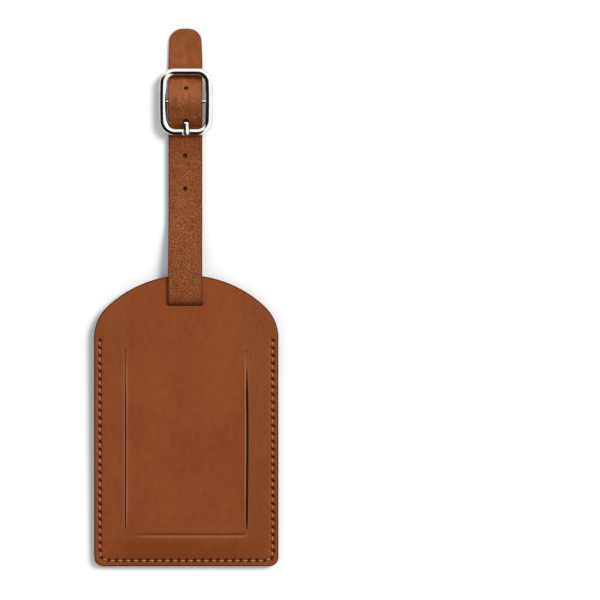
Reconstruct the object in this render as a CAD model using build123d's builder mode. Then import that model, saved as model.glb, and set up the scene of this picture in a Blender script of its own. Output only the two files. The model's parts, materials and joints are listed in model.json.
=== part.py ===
from build123d import *
from math import asin, atan2, cos, hypot, sin
import os

# A leather luggage tag lying flat, front side up, millimetres.
# +X to the right, +Y along the tag towards the strap's tip, +Z up from the table.
# The origin is on the table under the middle of the whole length.

# ---------------------------------------------------------------- whole tag
total_l = 204.8        # bottom edge of the body to the strap's tip

# body: two leather panels with a stiffener board between them
body_w = 70.0          # width of the body
body_l = 110.6         # bottom edge to the crown of the arch
arch_r = 43.3          # radius of the arch over the crown
shoulder_r = 16.3      # radius that blends the arch into the sides
corner_r = 3.3         # bottom corners
front_t = 1.0          # front panel
board_t = 0.6          # stiffener board
back_t = 1.0           # back panel
edge_r = 0.3           # rounding of the outer edges

# window band on the front panel
slit_gap = 46.1        # distance between the two card slits
slit_w = 0.6           # width of a slit
slit_foot = 14.1       # lower end of the slits above the bottom edge
slit_l = 68.2          # length of the slits
crease_up = 11.6       # pressed crease above the bottom edge
crease_w = 0.8         # width of the crease
crease_d = 0.25        # depth of the crease

# card and the pocket that the board's window leaves for it
card_w = 56.0
card_l = 66.0
card_t = 0.35
card_clear = 0.4       # side play of the card in its pocket
card_travel = 15.0     # how far the card slides up before it meets the pocket's end

# seam round the sides and the bottom
seam_inset = 2.15      # seam line in from the edge
seam_top = 85.9        # height of the seam's upper ends
side_stitches = 28     # stitches on each side
bottom_stitches = 22   # stitches along the bottom
thread_w = 0.55        # thread diameter
needle_clear = 0.06    # play of the thread in a needle hole
thread_sink = 0.35     # depth of the groove that the thread lies in

# strap
strap_w = 12.7
strap_t = 1.0
slot_foot = 98.6       # lower edge of the strap slot above the bottom edge
slot_side = 0.5        # play at each end of the slot
slot_play = 0.4        # play on each face of the strap in the slot
face_gap = 0.15        # strap to panel face
bend_in_r = 0.5        # inner radius of the strap where it turns through the slot
lay_gap = 0.05         # between two strap layers that lie on each other
tip_r = 5.0            # corners of the tip
tip_taper = 0.25       # how much each side draws in at the tip
hole_d = 1.6           # punched adjusting holes
hole_pitch = 12.6
holes_below = 2        # free holes between the prong and the body

# strap joint, where the two strands leave the body and bend as one
bend_past = 3.6        # bend line past the crown of the arch
bend_half = 3.0        # strap left free on each side of the bend line
bend_z = 2.4           # bend line above the table
strand_drop = 14.0     # length over which the upper strand comes down to the lower one
strand_start_z = 4.1   # middle of the upper strand where the joint begins

# upper strand's rise over the centre bar, distances from the bar
ramp_in = 0.65         # foot of each ramp in from the opening's end
ramp_l = 3.2           # run of the steep ramp next to the lower end bar
ramp_rise = 1.05       # top of the steep ramp above the bar's axis
crest_half = 2.0       # half the length of the level stretch over the bar
strand_r = 2.0         # radius of the strand's bends in the buckle
sweep_r = 20.0         # radius where the upper strand settles on the lower one

# buckle
bar_up = 176.4         # centre bar above the body's bottom edge
side_play = 0.8        # strap to rail, each side
open_l = 20.3          # length of the opening
rail_w = 2.9           # width of the rails at mid length
end_w = 2.65           # width of the two end bars
frame_t = 2.0          # thickness of the frame
frame_edge = 0.85      # rounding of the frame's edges
frame_out_r = 5.4      # outer corners
frame_in_r = 3.0       # inner corners
barrel = 0.35          # bulge of the rails
pin_r = 0.65           # centre bar radius
pin_seat = 1.7         # depth of the bar's ends in the rails
strand_play = 0.1      # upper strand to whatever lies next to it

# fold of the strap round the centre bar
fold_t = 0.65          # strap thickness where it is pared down for the fold
fold_clear = 0.08      # fold to bar
fold_foot = 5.2        # where the lower layer starts to climb, from the bar
flap_foot = 6.0        # where the upper layer comes down on it
flap_l = 8.0           # end of the flap, from the bar
pare_past = 1.0        # pared thickness carried on past the flap's end
skive_l = 1.2          # length of the pared slope
flap_slot = 6.2        # prong slot in the upper layer, from the bar
layer_slot = 3.2       # prong slot in the lower layer, from the bar
fold_seam = 7.1        # sewn row, from the bar
fold_stitch = 1.7      # stitch length of the sewn row
fold_stitches = 2      # stitches on each side of the prong's slot
fold_row_in = 0.7      # first needle hole out from the slot's side
fold_thread = 0.35     # thread diameter of the sewn row
fold_sink = 0.18       # depth of the groove that its thread lies in

# prong
prong_w = 1.8
prong_t = 0.75
prong_clear = 0.05     # prong's ring to bar
prong_knee = 7.0       # where the prong starts to rise, from the bar
prong_land = 0.15      # where it levels out, inside the end bar
prong_bend_r = 1.2     # radius of its two bends
prong_tip_r = 0.8      # rounding of its tip
prong_seat = 0.55      # how deep the prong lies in the notch of the end bar
prong_play = 0.3       # prong to the sides of the fold's slot
notch_play = 0.15      # prong to the sides and the floor of the notch
prong_hole_l = 3.0     # length of the hole that the prong has drawn open
prong_hole_at = 7.8    # its centre, from the bar

# ---------------------------------------------------------------- worked out
body_t = front_t + board_t + back_t
slot_h = strap_t + 2 * slot_play
slot_mid = slot_foot + slot_h / 2
slot_wide = strap_w + 2 * slot_side
loop_r = bend_in_r + strap_t / 2
loop_foot = slot_mid + loop_r
tilt = asin((strap_t + face_gap) / loop_foot)

half_l = total_l / 2
body_y = -half_l + body_t * sin(tilt)
along = (0, cos(tilt), sin(tilt))
body_plane = Plane(origin=(0, body_y, 0), x_dir=(1, 0, 0), z_dir=(0, -sin(tilt), cos(tilt)))
through = Axis((0, 0, 0), (0, -sin(tilt), cos(tilt)))
body_side = Plane(origin=(0, body_y, 0), x_dir=along, z_dir=(1, 0, 0))

front_base = back_t + board_t
pocket_foot = crease_up + crease_w / 2
pocket_l = card_l + card_travel + 2 * card_clear
pocket_w = card_w + 2 * card_clear
pocket_r = 2.0

side_x = body_w / 2 - seam_inset
side_pitch = (seam_top - seam_inset) / side_stitches
bottom_pitch = 2 * side_x / bottom_stitches
groove_w = thread_w + 0.3

bend_y = body_y + body_l + bend_past
strand_y = bend_y + bend_half
lower_z = strap_t / 2
upper_z = 1.5 * strap_t + lay_gap
bar_y = -half_l + bar_up
bar_z = 2 * strap_t + lay_gap + strand_play + frame_t / 2
ring_in = pin_r + prong_clear
ring_out = ring_in + prong_t
fold_r = pin_r + fold_clear + fold_t / 2
crest_z = bar_z + max(ring_out, fold_r + fold_t / 2) + strand_play + strap_t / 2
open_w = strap_w + 2 * side_play
frame_w = open_w + 2 * rail_w
frame_l = open_l + 2 * end_w
frame_top = bar_z + frame_t / 2
prong_low = bar_z - ring_in - prong_t / 2
prong_high = frame_top - prong_seat + prong_t / 2


def body_outline(plane):
    """Outline of the body on a plane: straight sides under an arch with soft shoulders."""
    half = body_w / 2
    spring = body_l - arch_r + (arch_r**2 - half**2) ** 0.5
    with BuildSketch(plane) as outline:
        with BuildLine():
            Polyline((-half, spring), (-half, 0), (half, 0), (half, spring))
            ThreePointArc((half, spring), (0, body_l), (-half, spring))
        make_face()
        corners = outline.vertices().sort_by(Axis.Y)
        fillet(corners[2:], shoulder_r)
        corners = outline.vertices().sort_by(Axis.Y)
        fillet(corners[:2], corner_r)
    return outline.sketch


def seam_groove(plane):
    """U-shaped track that the thread lies in."""
    with BuildSketch(plane) as track:
        for side in (-1, 1):
            with Locations((side * side_x, (seam_top + seam_inset) / 2)):
                Rectangle(groove_w, seam_top - seam_inset + groove_w)
        with Locations((0, seam_inset)):
            Rectangle(2 * side_x + groove_w, groove_w)
    return track.sketch


def rounds(plane, spots, diameter):
    """Equal round holes, or round threads, at the given spots."""
    with BuildSketch(plane) as dots:
        with Locations(*spots):
            Circle(diameter / 2)
    return dots.sketch


def seam_thread(plane, surface, middle):
    """One thread of the seam: a stitch on the face between each two holes, and a leg down each."""
    face = plane.offset(surface)
    core = plane.offset(middle)
    reach = surface - middle
    lie = thread_sink if reach > 0 else -thread_sink
    with BuildPart() as thread:
        extrude(rounds(core, hole_spots, thread_w), amount=reach)
        with BuildSketch(face) as stitches:
            for start, end in zip(hole_spots, hole_spots[1:]):
                with Locations(((start[0] + end[0]) / 2, (start[1] + end[1]) / 2)):
                    turn = 90 if start[0] == end[0] else 0
                    SlotCenterToCenter(hypot(end[0] - start[0], end[1] - start[1]), thread_w, rotation=turn)
        extrude(amount=-lie)
    return thread.part


def tangent_point(point, centre, radius, side):
    """Where a line from point touches the circle: side is 1 for its left side, -1 for its right."""
    gap = hypot(centre[0] - point[0], centre[1] - point[1])
    aim = atan2(centre[1] - point[1], centre[0] - point[0])
    lean = aim + side * asin(radius / gap)
    reach = (gap**2 - radius**2) ** 0.5
    return (point[0] + reach * cos(lean), point[1] + reach * sin(lean))


left_holes = [(-side_x, seam_top - i * side_pitch) for i in range(side_stitches)]
foot_holes = [(-side_x + i * bottom_pitch, seam_inset) for i in range(bottom_stitches)]
right_holes = [(side_x, seam_inset + i * side_pitch) for i in range(side_stitches + 1)]
hole_spots = left_holes + foot_holes + right_holes
needle_hole_d = thread_w + 2 * needle_clear

# ---------------------------------------------------------------- front panel
front_low = body_plane.offset(front_base)
front_face = body_plane.offset(body_t)
with BuildPart() as front_panel:
    extrude(body_outline(front_low), amount=front_t)
    fillet(front_panel.faces().sort_by(through)[-1].edges(), edge_r)
    with BuildSketch(front_face):
        with Locations((0, slot_mid)):
            Rectangle(slot_wide, slot_h)
        with Locations((-slit_gap / 2, slit_foot + slit_l / 2), (slit_gap / 2, slit_foot + slit_l / 2)):
            SlotOverall(slit_l, slit_w, rotation=90)
    extrude(amount=-front_t, mode=Mode.SUBTRACT)
    with BuildSketch(front_face):
        with BuildLine():
            FilletPolyline(
                (-slit_gap / 2, slit_foot),
                (-slit_gap / 2, crease_up),
                (slit_gap / 2, crease_up),
                (slit_gap / 2, slit_foot),
                radius=slit_foot - crease_up - crease_w / 2,
            )
        trace(line_width=crease_w)
    extrude(amount=-crease_d, mode=Mode.SUBTRACT)
    extrude(seam_groove(front_face), amount=-thread_sink, mode=Mode.SUBTRACT)
    extrude(rounds(front_face, hole_spots, needle_hole_d), amount=-front_t, mode=Mode.SUBTRACT)

# ---------------------------------------------------------------- stiffener board
with BuildPart() as stiffener_board:
    extrude(body_outline(body_plane.offset(back_t)), amount=board_t)
    with BuildSketch(front_low):
        with Locations((0, slot_mid)):
            Rectangle(slot_wide, slot_h)
        with Locations((0, pocket_foot + pocket_l / 2)):
            RectangleRounded(pocket_w, pocket_l, pocket_r)
    extrude(amount=-board_t, mode=Mode.SUBTRACT)
    extrude(rounds(front_low, hole_spots, needle_hole_d), amount=-board_t, mode=Mode.SUBTRACT)

# ---------------------------------------------------------------- back panel
back_top = body_plane.offset(back_t)
with BuildPart() as back_panel:
    extrude(body_outline(body_plane), amount=back_t)
    fillet(back_panel.faces().sort_by(through)[0].edges(), edge_r)
    with BuildSketch(back_top):
        with Locations((0, slot_mid)):
            Rectangle(slot_wide, slot_h)
    extrude(amount=-back_t, mode=Mode.SUBTRACT)
    extrude(seam_groove(body_plane), amount=thread_sink, mode=Mode.SUBTRACT)
    extrude(rounds(back_top, hole_spots, needle_hole_d), amount=-back_t, mode=Mode.SUBTRACT)

# ---------------------------------------------------------------- lockstitch seam, two threads
seam_needle_thread = seam_thread(body_plane, body_t, body_t / 2)
seam_bobbin_thread = seam_thread(body_plane, 0, body_t / 2)

# ---------------------------------------------------------------- address card
card_low = body_plane.offset(back_t + (board_t - card_t) / 2)
with BuildPart() as address_card:
    with BuildSketch(card_low):
        with Locations((0, pocket_foot + card_clear + card_l / 2)):
            RectangleRounded(card_w, card_l, pocket_r)
    extrude(amount=card_t)

# ---------------------------------------------------------------- strap where it turns through the slot
loop_end = body_l + bend_past - bend_half
loop_top = body_t + face_gap + strap_t / 2
loop_low = -face_gap - strap_t / 2
with BuildPart() as strap_slot_loop:
    with BuildSketch(body_side):
        with BuildLine():
            FilletPolyline(
                (loop_end, loop_top),
                (slot_mid, loop_top),
                (slot_mid, loop_low),
                (loop_end, loop_low),
                radius=loop_r,
            )
        trace(line_width=strap_t)
    extrude(amount=strap_w / 2, both=True)

# ---------------------------------------------------------------- upper strand, up to the strap's tip
prong_hole_y = bar_y - prong_hole_at
free_holes = [prong_hole_y - (i + 1) * hole_pitch for i in range(holes_below)]
top_hole_y = prong_hole_y + hole_pitch
ramp_foot = open_l / 2 - ramp_in
with BuildPart() as strap_front_strand:
    with BuildSketch(Plane.YZ):
        with BuildLine():
            FilletPolyline(
                (strand_y, strand_start_z),
                (strand_y + strand_drop, upper_z),
                (bar_y - ramp_foot, upper_z),
                (bar_y - ramp_foot + ramp_l, bar_z + ramp_rise),
                (bar_y - crest_half, crest_z),
                (bar_y + crest_half, crest_z),
                (bar_y + ramp_foot, lower_z),
                (half_l, lower_z),
                radius=[sweep_r] + 5 * [strand_r],
            )
        trace(line_width=strap_t)
    extrude(amount=strap_w / 2, both=True)
    with BuildSketch(Plane.XY) as tip_shape:
        with BuildLine():
            Polyline(
                (-strap_w / 2, strand_y - 1),
                (-strap_w / 2, half_l - 2 * tip_r),
                (-strap_w / 2 + tip_taper, half_l),
                (strap_w / 2 - tip_taper, half_l),
                (strap_w / 2, half_l - 2 * tip_r),
                (strap_w / 2, strand_y - 1),
                close=True,
            )
        make_face()
        fillet(tip_shape.vertices().group_by(Axis.Y)[-1], tip_r)
    extrude(amount=2 * crest_z, mode=Mode.INTERSECT)
    with BuildSketch(Plane.XY):
        with Locations(*[(0, y) for y in free_holes + [top_hole_y]]):
            Circle(hole_d / 2)
        with Locations((0, prong_hole_y)):
            SlotOverall(prong_hole_l, prong_w + 2 * notch_play, rotation=90)
    extrude(amount=2 * crest_z, mode=Mode.SUBTRACT)

# ---------------------------------------------------------------- lower strand, folded round the centre bar
bar_spot = (bar_y, bar_z)
layer_foot = (bar_y - fold_foot, fold_t / 2)
flap_z = 1.5 * fold_t + lay_gap
flap_turn = (bar_y - flap_foot, flap_z)
flap_end = bar_y - flap_l
pare_end = flap_end - pare_past
slot_in_fold = prong_w + 2 * prong_play
under_bar = tangent_point(layer_foot, bar_spot, fold_r, -1)
over_bar = tangent_point(flap_turn, bar_spot, fold_r, 1)
row_y = bar_y - fold_seam
row_top = flap_z + fold_t / 2
row_x = slot_in_fold / 2 + fold_row_in
row_l = fold_stitches * fold_stitch
row_steps = [row_x + i * fold_stitch for i in range(fold_stitches + 1)]
row_spots = [(side * x, row_y) for side in (-1, 1) for x in row_steps]


def fold_groove(plane, play):
    """Track of the sewn row on one face of the fold, on both sides of the prong's slot."""
    with BuildSketch(plane) as track:
        with Locations((-row_x - row_l / 2, row_y), (row_x + row_l / 2, row_y)):
            SlotCenterToCenter(row_l, fold_thread + 2 * play)
    return track.sketch


with BuildPart() as strap_back_strand:
    with BuildSketch(Plane.YZ):
        with BuildLine():
            Polyline(
                (strand_y, 0),
                (pare_end, 0),
                (pare_end, fold_t),
                (pare_end - skive_l, strap_t),
                (strand_y, strap_t),
                close=True,
            )
        make_face()
        with BuildLine() as fold_line:
            Line((pare_end, fold_t / 2), layer_foot)
            Line(layer_foot, under_bar)
            ThreePointArc(under_bar, (bar_y + fold_r, bar_z), over_bar)
            Line(over_bar, flap_turn)
            Line(flap_turn, (flap_end, flap_z))
        trace(line_width=fold_t)
        with Locations(layer_foot, flap_turn):
            Circle(fold_t / 2)
    extrude(amount=strap_w / 2, both=True)
    with BuildSketch(Plane.YZ):
        with BuildLine():
            Polyline(
                (bar_y - flap_slot, bar_z + 2 * ring_out),
                (bar_y - flap_slot, flap_z),
                (bar_y - layer_slot, flap_z),
                (bar_y - layer_slot, 0),
                (bar_y + 2 * fold_r, 0),
                (bar_y + 2 * fold_r, bar_z + 2 * ring_out),
                close=True,
            )
        make_face()
    extrude(amount=slot_in_fold / 2, both=True, mode=Mode.SUBTRACT)
    for face_z, into in ((0, fold_sink), (row_top, -fold_sink)):
        extrude(fold_groove(Plane.XY.offset(face_z), needle_clear), amount=into, mode=Mode.SUBTRACT)
    extrude(rounds(Plane.XY, row_spots, fold_thread + 2 * needle_clear), amount=row_top, mode=Mode.SUBTRACT)

# ---------------------------------------------------------------- sewn row that closes the fold
with BuildPart() as fold_stitching:
    extrude(rounds(Plane.XY, row_spots, fold_thread), amount=row_top)
    for face_z, into in ((0, fold_sink), (row_top, -fold_sink)):
        extrude(fold_groove(Plane.XY.offset(face_z), 0), amount=into)

# ---------------------------------------------------------------- buckle frame
frame_mid = Plane((0, bar_y, bar_z))
end_x = frame_w / 2 - barrel
with BuildPart() as buckle_frame:
    with BuildSketch(frame_mid) as ring:
        with BuildLine():
            ThreePointArc((-end_x, frame_l / 2), (-frame_w / 2, 0), (-end_x, -frame_l / 2))
            Line((-end_x, -frame_l / 2), (end_x, -frame_l / 2))
            ThreePointArc((end_x, -frame_l / 2), (frame_w / 2, 0), (end_x, frame_l / 2))
            Line((end_x, frame_l / 2), (-end_x, frame_l / 2))
        make_face()
        fillet(ring.vertices(), frame_out_r)
        RectangleRounded(open_w, open_l, frame_in_r, mode=Mode.SUBTRACT)
    extrude(amount=frame_t / 2, both=True)
    fillet(buckle_frame.faces().filter_by(Axis.Z).edges(), frame_edge)
    with BuildSketch(Plane.YZ.offset(-open_w / 2 - pin_seat)):
        with Locations(bar_spot):
            Circle(pin_r)
    extrude(amount=open_w + 2 * pin_seat, mode=Mode.SUBTRACT)
    with BuildSketch(Plane.XY.offset(prong_high - prong_t / 2 - notch_play)):
        with Locations((0, bar_y - open_l / 2 - end_w / 2)):
            Rectangle(prong_w + 2 * notch_play, 2 * end_w)
    extrude(amount=frame_t, mode=Mode.SUBTRACT)

# ---------------------------------------------------------------- centre bar, pressed into the rails
with BuildPart() as centre_bar:
    with BuildSketch(Plane.YZ):
        with Locations(bar_spot):
            Circle(pin_r)
    extrude(amount=open_w / 2 + pin_seat, both=True)

# ---------------------------------------------------------------- prong on the centre bar
with BuildPart() as prong:
    with BuildSketch(Plane.YZ):
        with Locations(bar_spot):
            Circle(ring_out)
        with BuildLine():
            FilletPolyline(
                (bar_y, prong_low),
                (bar_y - prong_knee, prong_low),
                (bar_y - open_l / 2 + prong_land, prong_high),
                (bar_y - open_l / 2 - end_w, prong_high),
                radius=prong_bend_r,
            )
        trace(line_width=prong_t)
        with Locations(bar_spot):
            Circle(ring_in, mode=Mode.SUBTRACT)
    extrude(amount=prong_w / 2, both=True)
    tip_face = prong.faces().sort_by(Axis.Y)[0]
    fillet(tip_face.edges().filter_by(Axis.Z), prong_tip_r)

# ---------------------------------------------------------------- files
pieces = {
    "front_panel": front_panel.part,
    "stiffener_board": stiffener_board.part,
    "back_panel": back_panel.part,
    "seam_needle_thread": seam_needle_thread,
    "seam_bobbin_thread": seam_bobbin_thread,
    "address_card": address_card.part,
    "strap_slot_loop": strap_slot_loop.part,
    "strap_front_strand": strap_front_strand.part,
    "strap_back_strand": strap_back_strand.part,
    "fold_stitching": fold_stitching.part,
    "buckle_frame": buckle_frame.part,
    "centre_bar": centre_bar.part,
    "prong": prong.part,
}
os.makedirs("parts", exist_ok=True)
for name, piece in pieces.items():
    piece.label = name
    export_step(piece, f"parts/{name}.step")
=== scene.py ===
import bmesh
import bpy
from math import atan2, cos, degrees, exp, pi, radians, sin
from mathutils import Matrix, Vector, geometry, kdtree, noise
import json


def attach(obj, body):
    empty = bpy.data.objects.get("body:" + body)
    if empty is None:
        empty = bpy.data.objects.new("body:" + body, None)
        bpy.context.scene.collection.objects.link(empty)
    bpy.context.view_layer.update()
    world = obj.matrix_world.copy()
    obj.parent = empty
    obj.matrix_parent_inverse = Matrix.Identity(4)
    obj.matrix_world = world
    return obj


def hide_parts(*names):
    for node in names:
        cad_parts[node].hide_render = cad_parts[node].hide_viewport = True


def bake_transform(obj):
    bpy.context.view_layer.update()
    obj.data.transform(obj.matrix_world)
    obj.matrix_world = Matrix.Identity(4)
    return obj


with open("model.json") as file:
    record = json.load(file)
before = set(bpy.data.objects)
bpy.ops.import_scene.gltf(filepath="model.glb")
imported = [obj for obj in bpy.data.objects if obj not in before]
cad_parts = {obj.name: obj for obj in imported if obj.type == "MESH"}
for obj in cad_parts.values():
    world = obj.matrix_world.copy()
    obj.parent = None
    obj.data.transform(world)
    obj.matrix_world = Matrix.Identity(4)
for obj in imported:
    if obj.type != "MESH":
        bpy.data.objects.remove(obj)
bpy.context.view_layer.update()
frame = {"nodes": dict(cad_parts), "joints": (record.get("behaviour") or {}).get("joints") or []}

mm = 0.001
body_w = 70.0
body_l = 110.6
arch_r = 43.3
shoulder_r = 16.3
corner_r = 3.3
front_t = 1.0
board_t = 0.6
back_t = 1.0
body_t = front_t + board_t + back_t
edge_round = 0.3

slit_x = 23.05
slit_foot = 14.1
slit_l = 68.2
slot_x = -0.4
slot_s = 99.68
slot_w = 13.2
slot_h = 1.3
crease_s = 11.75
crease_start = -20.5

seam_inset = 2.15
seam_top = 85.9
seam_turn = 2.6
seam_stitches = 78
awl_slant = radians(24)
awl_stray = 0.12
awl_twist = 0.35
awl_depth = 0.6

card_slide = next(joint for joint in frame["joints"] if joint["name"] == "card_slide")
up_body = Vector(card_slide["axis"])
off_body = Vector((1, 0, 0)).cross(up_body)
body_foot = Vector((0, -102.37, 0))


def on_body(x, s, h):
    """A point of the body: x across, s up from its bottom edge, h above the back panel's underside."""
    return body_foot + Vector((x, 0, 0)) + up_body * s + off_body * h


def bell(away, width, power=2):
    """1 at the middle of a bump, falling smoothly to 0 beyond its width."""
    return exp(-((away / width) ** power))


def drift(x, y, seed):
    """Smooth noise between -1 and 1, another for each seed."""
    return noise.noise(Vector((x, y, seed)))


def arc(x, s, radius, start, end, step=0.5):
    """Points round an arc about (x, s), angles in degrees."""
    count = max(2, round(abs(radians(end - start)) * radius / step))
    angles = [radians(start + (end - start) * i / count) for i in range(count + 1)]
    return [Vector((x + radius * cos(a), s + radius * sin(a))) for a in angles]


def even(points, step, closed=True):
    """The same line with points at equal steps along it."""
    line = points + points[:1] if closed else points
    far = [0.0]
    for a, b in zip(line, line[1:]):
        far.append(far[-1] + (b - a).length)
    count = max(3, round(far[-1] / step))
    out, k = [], 0
    for i in range(count if closed else count + 1):
        d = far[-1] * i / count
        while k < len(line) - 2 and far[k + 1] < d:
            k += 1
        span = far[k + 1] - far[k] or 1.0
        out.append(line[k].lerp(line[k + 1], (d - far[k]) / span))
    return out


def nearest_of(points):
    """A search tree that finds the nearest of the points."""
    tree = kdtree.KDTree(len(points))
    for i, p in enumerate(points):
        tree.insert(p.to_3d(), i)
    tree.balance()
    return tree


def edge_normals(loop, hole=False):
    """At each point of a closed loop, the way from the leather out over its edge."""
    area = sum(a.x * b.y - b.x * a.y for a, b in zip(loop, loop[1:] + loop[:1]))
    turn = (1 if area > 0 else -1) * (-1 if hole else 1)
    out = []
    for i, p in enumerate(loop):
        t = (loop[(i + 1) % len(loop)] - loop[i - 1]).normalized()
        out.append(Vector((t.y, -t.x)) * turn)
    return out


def way_at(path, i):
    """The direction of an open line at its point i."""
    return (path[min(i + 1, len(path) - 1)] - path[max(i - 1, 0)]).normalized()


def rows_along(path, offsets):
    """Points beside an open line, at each of the offsets from it."""
    spots = []
    for i, p in enumerate(path):
        t = way_at(path, i)
        spots += [p + Vector((t.y, -t.x)) * o for o in offsets]
    return spots


triangle_height = 0.866
same_point = 1e-7


def cut_leather(name, loops, rows, spots, pitch, face, back, place, marks):
    """A piece of leather cut along loops, the first its outline and the rest its holes.

    rows are the edge's steps from face to back: how far in, which side, how far below its surface.
    spots are extra points, pitch the spacing elsewhere. face and back give the surfaces' heights,
    place puts a point where it lies, and marks names the per-point shades that the material reads.
    """
    rims = [(loop, edge_normals(loop, hole=k > 0)) for k, loop in enumerate(loops)]
    flat, owner, cuts = [], [], []
    for k, (loop, out) in enumerate(rims):
        first = len(flat)
        flat += [p - n * rows[0][0] for p, n in zip(loop, out)]
        owner += [k] * len(loop)
        cuts += [(first + i, first + (i + 1) % len(loop)) for i in range(len(loop))]
    rim_count = len(flat)
    ways = [n for loop, out in rims for n in out]
    rim_tree = nearest_of(flat)

    def clear(p, gap):
        near, i, far = rim_tree.find(p.to_3d())
        return (p - near.to_2d()).dot(ways[i]) < -gap / 2 and far > gap

    least_gap = 0.1
    spots = [p for p in spots if clear(p, least_gap)]
    kept = nearest_of(spots)
    low = Vector((min(p.x for p in loops[0]), min(p.y for p in loops[0])))
    high = Vector((max(p.x for p in loops[0]), max(p.y for p in loops[0])))
    rise = pitch * triangle_height
    crowding = pitch * 0.6
    for row in range(int((high.y - low.y) / rise) + 1):
        for column in range(int((high.x - low.x) / pitch) + 2):
            p = Vector((low.x + (column + row % 2 / 2) * pitch, low.y + row * rise))
            if clear(p, crowding) and kept.find(p.to_3d())[2] > crowding:
                spots.append(p)

    flat += spots
    owner += [-1] * len(spots)
    points, _, faces, came_from, _, _ = geometry.delaunay_2d_cdt(flat, cuts, [], 1, same_point)
    source = [c[0] if c else -1 for c in came_from]
    sides = [owner[i] if i >= 0 else -1 for i in source]
    faces = [f for f in faces if not (sides[f[0]] > 0 and sides[f[0]] == sides[f[1]] == sides[f[2]])]

    shape, lie, shades = [], [], {key: [] for key in marks}

    def add(p, side, drop, edge):
        h = face(p.x, p.y) - drop if side > 0 else back(p.x, p.y) + drop
        shape.append(place(p.x, p.y, h) * mm)
        lie.append((p.x, p.y, h))
        for key, shade in marks.items():
            shades[key].append(shade(p.x, p.y, side, edge))
        return len(shape) - 1

    front = [add(p, 1, 0, 0.0) for p in points]
    rear = [add(p, -1, 0, 0.0) for p in points]
    found = {i: n for n, i in enumerate(source) if 0 <= i < rim_count}
    skin = [tuple(front[i] for i in f) for f in faces]
    skin += [tuple(rear[i] for i in reversed(f)) for f in faces]
    first = 0
    for loop, out in rims:
        ids = [found[first + i] for i in range(len(loop))]
        first += len(loop)
        rings = [[front[i] for i in ids]]
        for inset, side, drop in rows[1:-1]:
            turned = 1 - inset / rows[0][0]
            rings.append([add(p - n * inset, side, drop, turned) for p, n in zip(loop, out)])
        rings.append([rear[i] for i in ids])
        for a, b in zip(rings, rings[1:]):
            for i in range(len(ids)):
                j = (i + 1) % len(ids)
                skin.append((a[i], b[i], b[j], a[j]))

    mesh = bpy.data.meshes.new(name)
    mesh.from_pydata(shape, [], skin)
    for key, values in shades.items():
        mesh.attributes.new(key, "FLOAT", "POINT").data.foreach_set("value", values)
    flat_lie = [c for p in lie for c in p]
    mesh.attributes.new("lie", "FLOAT_VECTOR", "POINT").data.foreach_set("vector", flat_lie)
    return finish_mesh(name, mesh)


def finish_mesh(name, mesh):
    """Puts a mesh in the scene with its faces turned outward and smooth."""
    shell = bmesh.new()
    shell.from_mesh(mesh)
    bmesh.ops.recalc_face_normals(shell, faces=shell.faces)
    shell.to_mesh(mesh)
    shell.free()
    mesh.shade_smooth()
    made = bpy.data.objects.new(name, mesh)
    bpy.context.scene.collection.objects.link(made)
    return made


half_w = body_w / 2
arch_s = body_l - arch_r
shoulder_s = arch_s + ((arch_r - shoulder_r) ** 2 - (half_w - shoulder_r) ** 2) ** 0.5
spread = degrees(atan2(shoulder_s - arch_s, half_w - shoulder_r))
body_outline = even(
    arc(half_w - corner_r, corner_r, corner_r, -90, 0)
    + arc(half_w - shoulder_r, shoulder_s, shoulder_r, 0, spread)
    + arc(0, arch_s, arch_r, spread, 180 - spread)
    + arc(shoulder_r - half_w, shoulder_s, shoulder_r, 180 - spread, 180)
    + arc(corner_r - half_w, corner_r, corner_r, 180, 270),
    0.5,
)

seam_x = half_w - seam_inset
seam_line = even(
    [Vector((-seam_x, seam_top))]
    + arc(seam_turn - seam_x, seam_inset + seam_turn, seam_turn, 180, 270, 0.1)
    + arc(seam_x - seam_turn, seam_inset + seam_turn, seam_turn, -90, 0, 0.1)
    + [Vector((seam_x, seam_top))],
    0.1,
    closed=False,
)
seam_tree = nearest_of(seam_line)


needle_holes = []
for i in range(seam_stitches + 1):
    at = round(i / seam_stitches * (len(seam_line) - 1))
    spot, run = seam_line[at], way_at(seam_line, at)
    shift = drift(i * 1.7, 4.0, 0) * awl_stray
    lean = awl_slant + drift(i * 2.3, 9.0, 0) * awl_twist
    slash = Vector((run.x * cos(lean) - run.y * sin(lean), run.x * sin(lean) + run.y * cos(lean)))
    needle_holes.append((spot + run * shift, slash))
hole_tree = nearest_of([p for p, slash in needle_holes])
hole_half_length = 0.88
hole_half_width = 0.5
hole_reach = 1.4


def needle_mark(x, s):
    """How deep in a needle hole a point of the face is, from 0 outside to 1 in its middle."""
    _, i, far = hole_tree.find((x, s, 0))
    if far > hole_reach:
        return 0.0
    spot, slash = needle_holes[i]
    away = Vector((x, s)) - spot
    along, across = away.dot(slash), away.x * slash.y - away.y * slash.x
    return exp(-((abs(along) / hole_half_length) ** 3) - (abs(across) / hole_half_width) ** 3)


def seam_dent(x, s):
    """Depth of the soft channel that the tight stitches pull into the leather."""
    _, _, far = seam_tree.find((x, s, 0))
    channel = 0.2 * bell(far, 0.62)
    bulge_beside = 0.035 * bell(far - 1.25, 0.45)
    return channel - bulge_beside


crease_turn = 1.6
crease_line = even(
    [Vector((crease_start, crease_s))]
    + arc(slit_x - crease_turn, crease_s + crease_turn, crease_turn, -90, 0, 0.2)
    + [Vector((slit_x, slit_foot))],
    0.45,
    closed=False,
)
crease_tree = nearest_of(crease_line)


def soft_step(low, high, value):
    """0 below low, 1 above high, smooth between."""
    v = min(1.0, max(0.0, (value - low) / (high - low)))
    return v * v * (3 - 2 * v)


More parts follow.
